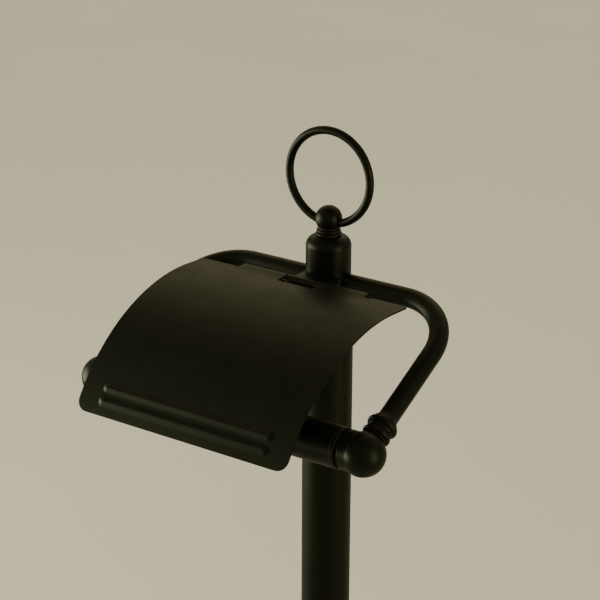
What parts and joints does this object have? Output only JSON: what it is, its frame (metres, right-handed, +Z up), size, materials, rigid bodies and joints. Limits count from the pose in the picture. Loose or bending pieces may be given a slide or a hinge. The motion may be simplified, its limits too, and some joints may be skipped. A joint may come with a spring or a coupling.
{
  "type": "toilet paper holder",
  "caption": "Free-standing toilet paper holder: weighted base, post with lifting ring, bent-tube hoop with ball ends, spring roller and hinged hood.",
  "frame": {"origin": "on the floor under the post's axis, in the middle of the floor pad's underside", "axes": "+Z up along the post; X along the roller and the hoop's bar; -Y to the front, where the roller is"},
  "size_m": [0.1934, 0.2303, 0.7002],
  "materials": {
    "bronze_coating": "satin dark bronze coating",
    "hood_coating": "satin dark bronze coating on sheet",
    "cast_iron": "as cast",
    "zinc_steel": "zinc plated",
    "black_screw": "blackened",
    "spring_steel": "bright",
    "nylon": "natural",
    "pad_rubber": "matte"
  },
  "bodies": {
    "stand": {"floor_pad": "pad_rubber", "base_weight": "cast_iron", "base_shell": "bronze_coating", "base_ring": "bronze_coating", "tie_rod": "zinc_steel", "tie_rod_nut": "zinc_steel", "tie_rod_washer": "zinc_steel", "lower_post": "bronze_coating", "post_coupler": "zinc_steel", "upper_post": "bronze_coating", "post_top_plug": "zinc_steel", "collar": "bronze_coating", "collar_grub_screw": "zinc_steel", "finial": "bronze_coating", "lifting_ring": "bronze_coating", "hoop": "bronze_coating", "leg_bead_left": "bronze_coating", "leg_bead_right": "bronze_coating", "leg_studs": "zinc_steel", "ball_end_left": "bronze_coating", "ball_end_right": "bronze_coating", "socket_bush_left": "nylon", "socket_bush_right": "nylon", "hinge_bracket": "bronze_coating", "bracket_screw": "black_screw", "hinge_pin": "black_screw"},
    "hood": {"hood": "hood_coating"},
    "roller_outer": {"roller_outer_tube": "bronze_coating", "roller_cap_right": "bronze_coating", "roller_spring": "spring_steel"},
    "roller_inner": {"roller_inner_tube": "bronze_coating", "roller_cap_left": "bronze_coating", "roller_inner_plug": "nylon"}
  },
  "joints": [
    {"name": "hood_hinge", "type": "hinge", "parent": "stand", "child": "hood", "pos_m": [0, -0.0231, 0.6169], "axis": [-1, 0, 0], "range_deg": [0, 104]},
    {"name": "roller_spin", "type": "hinge", "parent": "stand", "child": "roller_outer", "pos_m": [0, -0.0951, 0.566], "axis": [1, 0, 0], "continuous": true},
    {"name": "roller_compress", "type": "slide", "parent": "roller_outer", "child": "roller_inner", "axis": [1, 0, 0], "range_m": [0, 0.01], "stiffness_N_per_m": 300, "springref_m": -0.012, "deforming": ["roller_spring"]}
  ]
}
